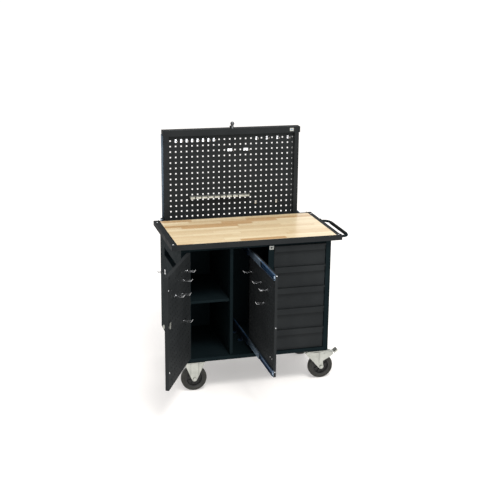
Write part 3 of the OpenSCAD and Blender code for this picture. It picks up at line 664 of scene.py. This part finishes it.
def drawer_fittings():
    """A ribbed latch at the right end of each front, and a mat in each drawer."""
    for i in DRAWERS:
        body = f"drawer_{i}"
        front_low, front_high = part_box(f"drawer_front_{i}")
        box_low, box_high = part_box(f"drawer_box_{i}")
        inset, drop = 5 * MM, 24 * MM
        centre = Vector((front_high.x - inset, front_low.y + inset, front_high.z - drop))
        latch = bmesh.new()
        add_box(latch, (7 * MM, 7 * MM, 24 * MM), 1.5 * MM, centre)
        for step in (-1, 0, 1):
            rib = centre + Vector((0, -3.6 * MM, step * 5 * MM))
            add_box(latch, (6 * MM, 1.4 * MM, 1.6 * MM), 0.5 * MM, rib)
        piece(f"drawer_latch_{i}", body, "grip_rubber", latch)
        drawer_mat(f"drawer_mat_{i}", body, box_low, box_high)


def drawer_mat(name, body, low, high):
    """A ribbed rubber mat on the bottom of a drawer."""
    x0, x1 = low.x + 12 * MM, high.x - 12 * MM
    y0, y1 = low.y + 4 * MM, high.y - 4 * MM
    base, valley, crest = low.z + 1.1 * MM, 1.4 * MM, 2.2 * MM
    ribs = 60
    pitch = (x1 - x0) / ribs
    section = []
    for i in range(ribs):
        start = x0 + (x1 - x0) * i / ribs
        section += [(start, valley), (start + 0.35 * pitch, valley)]
        section += [(start + 0.45 * pitch, crest), (start + 0.9 * pitch, crest)]
    section += [(x1, valley), (x1, 0.0), (x0, 0.0)]
    shape = bmesh.new()
    near = [shape.verts.new((x, y0, base + z)) for x, z in section]
    far = [shape.verts.new((x, y1, base + z)) for x, z in section]
    for i in range(len(section)):
        j = (i + 1) % len(section)
        shape.faces.new((near[i], near[j], far[j], far[i]))
    shape.faces.new(near)
    shape.faces.new(reversed(far))
    bmesh.ops.recalc_face_normals(shape, faces=shape.faces)
    piece(name, body, "grip_rubber", shape, smooth=20)


def panel_fittings():
    low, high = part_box("panel_tray")
    inset, half_plate, drop = 62 * MM, 0.5 * MM, 20 * MM
    centre = Vector((high.x - inset, low.y - half_plate, high.z - drop))
    badge("panel_badge", "tool_panel", centre, (28 * MM, 22 * MM), "slide_blue")

    sheet_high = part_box("panel_sheet")[1]
    body_low, body_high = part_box("panel_runners")
    runner, post = 14 * MM, 24 * MM
    post_back = sheet_high.y + 30 * MM
    sides = (body_low.x + runner + post, body_high.x - runner - post)
    heights = spread(low.z, high.z, 5)
    places = [(Vector((x, post_back, z)), BACK) for x in sides for z in heights]
    row_of("panel_back_screws", "tool_panel", "zinc", lambda: cross_screw(4 * MM), places)

    middle = Vector(JOINTS["panel_lock_turn"]["pos_m"])
    tab = bmesh.new()
    start = middle + Vector((-13 * MM, 0, 14 * MM))
    add_box(tab, (12 * MM, 12 * MM, 11 * MM), 3 * MM, start, segments=3)
    piece("panel_lock_tab", "panel_lock", "grip_rubber", tab)
    ring = in_mm([(9.2, 9.2), (12.2, 9.2), (12.4, 10.4), (10.6, 11.8), (9.2, 12), (9.2, 9.2)])
    row_of("panel_lock_ring", "panel_lock", "zinc", lambda: turned(ring, 32), [(middle, UP)])


def wheel_fittings(corner):
    """Ribs on both sides of a wheel, and two raised lines round each side of its tyre."""
    low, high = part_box("wheel_" + corner)
    centre = (low + high) / 2
    ribs = bmesh.new()
    for side in (FRONT, BACK):
        for i in range(8):
            turn = math.radians(45 * i + 22.5)
            rib = rounded_box((30 * MM, 4 * MM, 9 * MM), 1.2 * MM)
            rib.transform(Matrix.Translation((34 * MM, 0, 9.5 * MM)))
            add(ribs, rib, placed(centre, side, turn))
    piece("wheel_ribs_" + corner, "wheel_" + corner, "wheel_centre", ribs)
    root, top = 22.6, 23.5
    lines = bmesh.new()
    for side in (FRONT, BACK):
        for r in (69.0, 74.0):
            bead = in_mm([(r - 0.9, root), (r - 0.4, top), (r + 0.4, top), (r + 0.9, root)])
            add(lines, turned([*bead, bead[0]], 96), placed(centre, side))
    piece("tyre_beads_" + corner, "wheel_" + corner, "tyre", lines)


def swivel_fittings(end):
    """The seal of a swivel's bearing, and the treads on its brake pedal."""
    fork_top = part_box("swivel_fork_" + end)[1].z
    joint = Vector(JOINTS[f"swivel_{end}_turn"]["pos_m"])
    seal = in_mm([(33, -1), (40, -1), (40.5, 0.5), (38, 4.5), (33, 5.5), (33, -1)])
    places = [(Vector((joint.x, joint.y, fork_top)), UP)]
    row_of("bearing_seal_" + end, "swivel_" + end, "zinc", lambda: turned(seal, 64), places)
    pivot = Vector(JOINTS[f"pedal_{end}_tilt"]["pos_m"])
    slope = Matrix.Rotation(math.radians(-38), 4, "Y")
    tread = Matrix.Translation(pivot + Vector((76 * MM, 0, 3 * MM))) @ slope
    treads = bmesh.new()
    for i in range(5):
        ridge = rounded_box((2.4 * MM, 42 * MM, 2.6 * MM), 0.8 * MM)
        add(treads, ridge, tread @ Matrix.Translation(((-3 + 5.5 * i) * MM, 0, 4 * MM)))
    piece("pedal_treads_" + end, "pedal_" + end, "zinc", treads)


# ---- Floor, light and camera ----


def build_floor():
    """A plain pale floor, with a little light of its own to keep its shadows soft."""
    f = Finish("studio_floor", specular=0.1)
    mottle = f.between(f.noise(scale=3.0), 0.3, 0.7)
    tone = f.blend(mottle, (0.75, 0.73, 0.715), (0.77, 0.75, 0.735))
    f.feed(f.shader.inputs["Emission Color"], tone)
    f.shader.inputs["Emission Strength"].default_value = 0.42
    finish = f.finish(tone, 0.9, [(f.noise(scale=40.0), 0.1 * MM, 0.2)])
    shape = bmesh.new()
    bmesh.ops.create_grid(shape, x_segments=8, y_segments=8, size=150.0)
    mesh = bpy.data.meshes.new("floor")
    shape.to_mesh(mesh)
    shape.free()
    mesh.materials.append(finish)
    floor = bpy.data.objects.new("floor", mesh)
    bpy.context.scene.collection.objects.link(floor)


def area_light(name, place, target, size, energy, tint):
    light = bpy.data.lights.new(name, "AREA")
    light.shape = "DISK"
    light.size = size
    light.energy = energy
    light.color = tint
    lamp = bpy.data.objects.new(name, light)
    lamp.location = place
    aim = Vector(target) - Vector(place)
    lamp.rotation_euler = aim.to_track_quat("-Z", "Y").to_euler()
    bpy.context.scene.collection.objects.link(lamp)


def build_light():
    """A white room, a warm key light from above and a weak cool one from low in front."""
    world = bpy.data.worlds.new("studio")
    world.use_nodes = True
    background = world.node_tree.nodes["Background"]
    background.inputs["Color"].default_value = (1.0, 1.0, 1.0, 1.0)
    background.inputs["Strength"].default_value = 1.0
    scene = bpy.context.scene
    scene.world = world
    scene.view_settings.view_transform = "Standard"
    area_light(
        "key", (0.2, -4.2, 7.8), (0, 0, 0.9), size=3.0, energy=430.0, tint=(1.0, 0.985, 0.96)
    )
    area_light(
        "low", (0.6, -5.5, 1.2), (0, 0, 0.4), size=3.2, energy=60.0, tint=(0.97, 0.99, 1.0)
    )


def build_camera():
    """The photograph's view, set from the worktop's front left corner."""
    board_low, board_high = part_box("worktop_board")
    corner = Vector((board_low.x, board_low.y, board_high.z))
    from_corner = Vector((-1.180, -5.967, 1.755))
    azimuth, pitch, roll = (math.radians(a) for a in (15.49, 16.37, 0.64))
    forward = Vector(
        (math.sin(azimuth) * math.cos(pitch), math.cos(azimuth) * math.cos(pitch), -math.sin(pitch))
    )
    level = Vector((math.cos(azimuth), -math.sin(azimuth), 0))
    over = level.cross(forward)
    right = math.cos(roll) * level + math.sin(roll) * over
    up = math.cos(roll) * over - math.sin(roll) * level
    data = bpy.data.cameras.new("camera")
    data.sensor_width = 36.0
    data.lens = 72.48
    data.clip_end = 100.0
    camera = bpy.data.objects.new("camera", data)
    turn = Matrix((right, up, -forward)).transposed().to_4x4()
    camera.matrix_world = Matrix.Translation(corner + from_corner) @ turn
    bpy.context.scene.collection.objects.link(camera)
    bpy.context.scene.camera = camera


build_camera()
finish_cad_nodes()
worktop_fittings()
rear_cover_screws()
upright_badge()
shelf_clips()
hinge_screws()
door_fittings()
pullout_fittings()
drawer_fittings()
panel_fittings()
for wheel in ("front_left", "rear_left", "front_right", "rear_right"):
    wheel_fittings(wheel)
for caster in ("front", "rear"):
    swivel_fittings(caster)
build_floor()
build_light()
